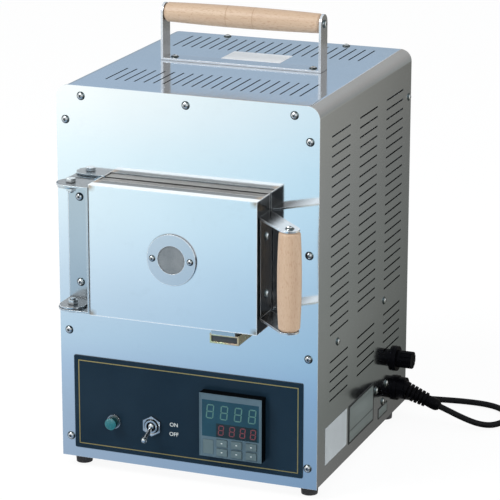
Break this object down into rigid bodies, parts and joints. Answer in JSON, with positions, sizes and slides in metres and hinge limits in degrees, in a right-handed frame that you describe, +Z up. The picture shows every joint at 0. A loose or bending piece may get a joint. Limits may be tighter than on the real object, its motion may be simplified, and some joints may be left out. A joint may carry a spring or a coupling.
{
  "type": "jewellery kiln",
  "caption": "Bench-top electric jewellery kiln: folded steel casing with vents, side-hung door with sight window and wooden handle, controls below, carrying handle on top.",
  "frame": {"origin": "on the floor, under the middle of the kiln's box without its cord", "axes": "+X to the right along the front panel, +Y from the front to the back, +Z up"},
  "size_m": [0.4267, 0.5216, 0.4992],
  "materials": {
    "polished_steel": "polished",
    "plain_steel": "satin",
    "door_steel": "satin",
    "strip_steel": "satin",
    "screw_steel": "gloss",
    "wood": "satin",
    "foot_rubber": "matte",
    "brick": "matte",
    "fibre": "matte",
    "coil_wire": "matte",
    "probe_sheath": "matte",
    "plate_enamel": "gloss",
    "controller_plastic": "satin",
    "display_window": "gloss",
    "key_rubber": "matte",
    "lamp_metal": "gloss",
    "lamp_lens": "gloss",
    "black_plastic": "satin",
    "heat_sink_alloy": "satin",
    "cord_rubber": "satin",
    "sight_glass": "gloss",
    "yellow_steel": "satin",
    "magnet": "matte"
  },
  "bodies": {
    "casing": {"base_tray": "plain_steel", "rubber_feet": "foot_rubber", "front_panel": "polished_steel", "panel_screws": "screw_steel", "wrap_cover": "polished_steel", "casing_screws": "screw_steel", "back_panel": "plain_steel", "inner_shelf": "plain_steel", "chamber_case": "plain_steel", "floor_brick": "brick", "roof_brick": "brick", "left_brick": "brick", "right_brick": "brick", "back_brick_block": "brick", "heating_coils": "coil_wire", "temperature_probe": "probe_sheath", "control_plate": "plate_enamel", "controller_case": "controller_plastic", "controller_window": "display_window", "lamp_body": "lamp_metal", "lamp_cap": "lamp_lens", "switch_body": "lamp_metal", "switch_nut": "lamp_metal", "power_relay": "black_plastic", "heat_sink": "heat_sink_alloy", "terminal_block": "black_plastic", "terminal_bracket": "plain_steel", "fuse_holder": "black_plastic", "cord_gland": "black_plastic", "cord_relief": "cord_rubber", "power_cord": "cord_rubber", "cord_coil": "cord_rubber", "mains_plug": "cord_rubber", "hinge_bracket": "strip_steel", "hinge_bolts": "screw_steel", "catch_body": "yellow_steel", "catch_magnet": "magnet", "carry_strip": "strip_steel", "carry_grip": "wood", "carry_screws": "screw_steel"},
    "door": {"door_pan": "polished_steel", "door_liner": "door_steel", "door_insulation": "fibre", "door_seal": "fibre", "peephole_ring": "strip_steel", "peephole_glass": "sight_glass", "door_screws": "screw_steel", "handle_strip": "strip_steel", "handle_grip": "wood", "grip_screws": "screw_steel", "door_bracket": "strip_steel", "catch_strike": "strip_steel"},
    "key_1_body": {"key_1": "key_rubber"},
    "key_2_body": {"key_2": "key_rubber"},
    "key_3_body": {"key_3": "key_rubber"},
    "key_4_body": {"key_4": "key_rubber"},
    "key_5_body": {"key_5": "key_rubber"},
    "key_6_body": {"key_6": "key_rubber"},
    "switch_arm": {"switch_lever": "lamp_metal"},
    "fuse_carrier": {"fuse_cap": "black_plastic"}
  },
  "joints": [
    {"name": "door_swing", "type": "hinge", "parent": "casing", "child": "door", "pos_m": [-0.1322, -0.1431, 0.266], "axis": [0, 0, -1], "range_deg": [0, 170]},
    {"name": "switch_throw", "type": "hinge", "parent": "casing", "child": "switch_arm", "pos_m": [-0.0507, -0.119, 0.0615], "axis": [-1, 0, 0], "range_deg": [0, 44]},
    {"name": "fuse_cap_turn", "type": "hinge", "parent": "casing", "child": "fuse_carrier", "pos_m": [0.1393, 0.1504, 0.078], "axis": [1, 0, 0], "range_deg": [0, 90]},
    {"name": "key_1_press", "type": "slide", "parent": "casing", "child": "key_1_body", "axis": [0, 1, 0], "range_m": [0, 0.001], "stiffness_N_per_m": 400},
    {"name": "key_2_press", "type": "slide", "parent": "casing", "child": "key_2_body", "axis": [0, 1, 0], "range_m": [0, 0.001], "stiffness_N_per_m": 400},
    {"name": "key_3_press", "type": "slide", "parent": "casing", "child": "key_3_body", "axis": [0, 1, 0], "range_m": [0, 0.001], "stiffness_N_per_m": 400},
    {"name": "key_4_press", "type": "slide", "parent": "casing", "child": "key_4_body", "axis": [0, 1, 0], "range_m": [0, 0.001], "stiffness_N_per_m": 400},
    {"name": "key_5_press", "type": "slide", "parent": "casing", "child": "key_5_body", "axis": [0, 1, 0], "range_m": [0, 0.001], "stiffness_N_per_m": 400},
    {"name": "key_6_press", "type": "slide", "parent": "casing", "child": "key_6_body", "axis": [0, 1, 0], "range_m": [0, 0.001], "stiffness_N_per_m": 400}
  ]
}
